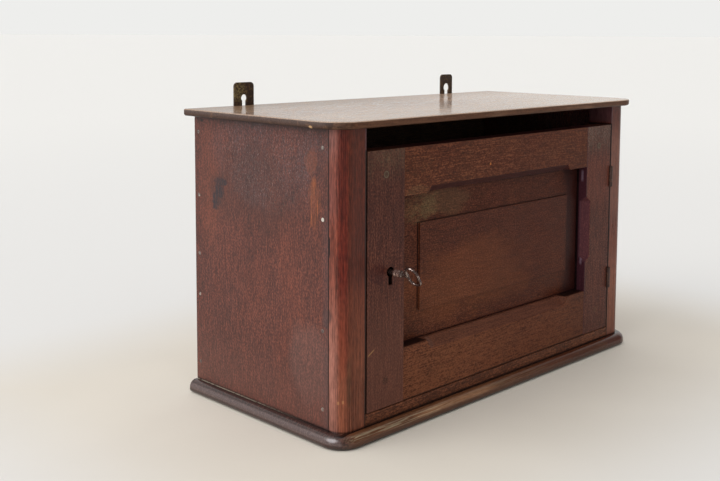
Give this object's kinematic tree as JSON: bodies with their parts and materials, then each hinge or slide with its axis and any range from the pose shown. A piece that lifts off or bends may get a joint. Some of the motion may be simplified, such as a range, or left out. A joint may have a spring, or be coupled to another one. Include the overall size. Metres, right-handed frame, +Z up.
{
  "type": "wall cabinet",
  "caption": "Small dark oak wall cabinet with a framed and panelled door, a key in its lock, rounded front corners, an open slot above the door and metal hanging plates.",
  "frame": {"origin": "middle of the base underside, half way between the front of the posts and the back", "axes": "X to the right seen from the front, Y to the back, Z up"},
  "size_m": [0.454, 0.2331, 0.294],
  "materials": {
    "oak_boards": "dark stained oak, waxed",
    "oak_posts": "red-brown stained oak, waxed",
    "oak_door": "dark stained oak, waxed",
    "oak_panel": "dark stained oak, waxed",
    "back_boards": "plain wood, lightly stained",
    "old_brass": "aged, nearly black brass",
    "dark_iron": "dark iron",
    "worn_steel": "worn steel"
  },
  "bodies": {
    "carcass": {"base_board": "oak_boards", "top_board": "oak_boards", "left_side": "oak_boards", "right_side": "oak_boards", "left_post": "oak_posts", "right_post": "oak_posts", "bottom_rail": "oak_posts", "back_upper": "back_boards", "back_lower": "back_boards", "door_stop": "oak_posts", "stop_nails": "dark_iron", "side_nails": "dark_iron", "top_brads": "dark_iron", "base_screws": "dark_iron", "hanger_plate_left": "old_brass", "hanger_plate_right": "old_brass", "hanger_screws": "dark_iron", "upper_hinge_post_leaf": "old_brass", "upper_hinge_pin": "dark_iron", "lower_hinge_post_leaf": "old_brass", "lower_hinge_pin": "dark_iron", "hinge_post_screws": "old_brass"},
    "door": {"door_left_stile": "oak_door", "door_right_stile": "oak_door", "door_top_rail": "oak_door", "door_bottom_rail": "oak_door", "door_panel": "oak_panel", "door_pegs": "oak_door", "upper_hinge_door_leaf": "old_brass", "lower_hinge_door_leaf": "old_brass", "hinge_door_screws": "old_brass", "lock_plate": "dark_iron", "lock_case": "dark_iron", "lock_screws": "dark_iron"},
    "bolt": {"lock_bolt": "worn_steel", "lock_spring": "worn_steel"},
    "key": {"key": "worn_steel"}
  },
  "joints": [
    {"name": "door_swing", "type": "hinge", "parent": "carcass", "child": "door", "pos_m": [0.1866, -0.1008, 0.134], "axis": [0, 0, 1], "range_deg": [0, 175]},
    {"name": "key_turn", "type": "hinge", "parent": "door", "child": "key", "pos_m": [-0.1575, -0.1, 0.14], "axis": [0, -1, 0], "range_deg": [-33, 180]},
    {"name": "bolt_throw", "type": "slide", "parent": "door", "child": "bolt", "axis": [-1, 0, 0], "range_m": [-0.00128, 0.007]}
  ],
  "couplings": [
    {"joint": "key_turn", "follows": "bolt_throw", "rad_per_m": 448.8}
  ]
}
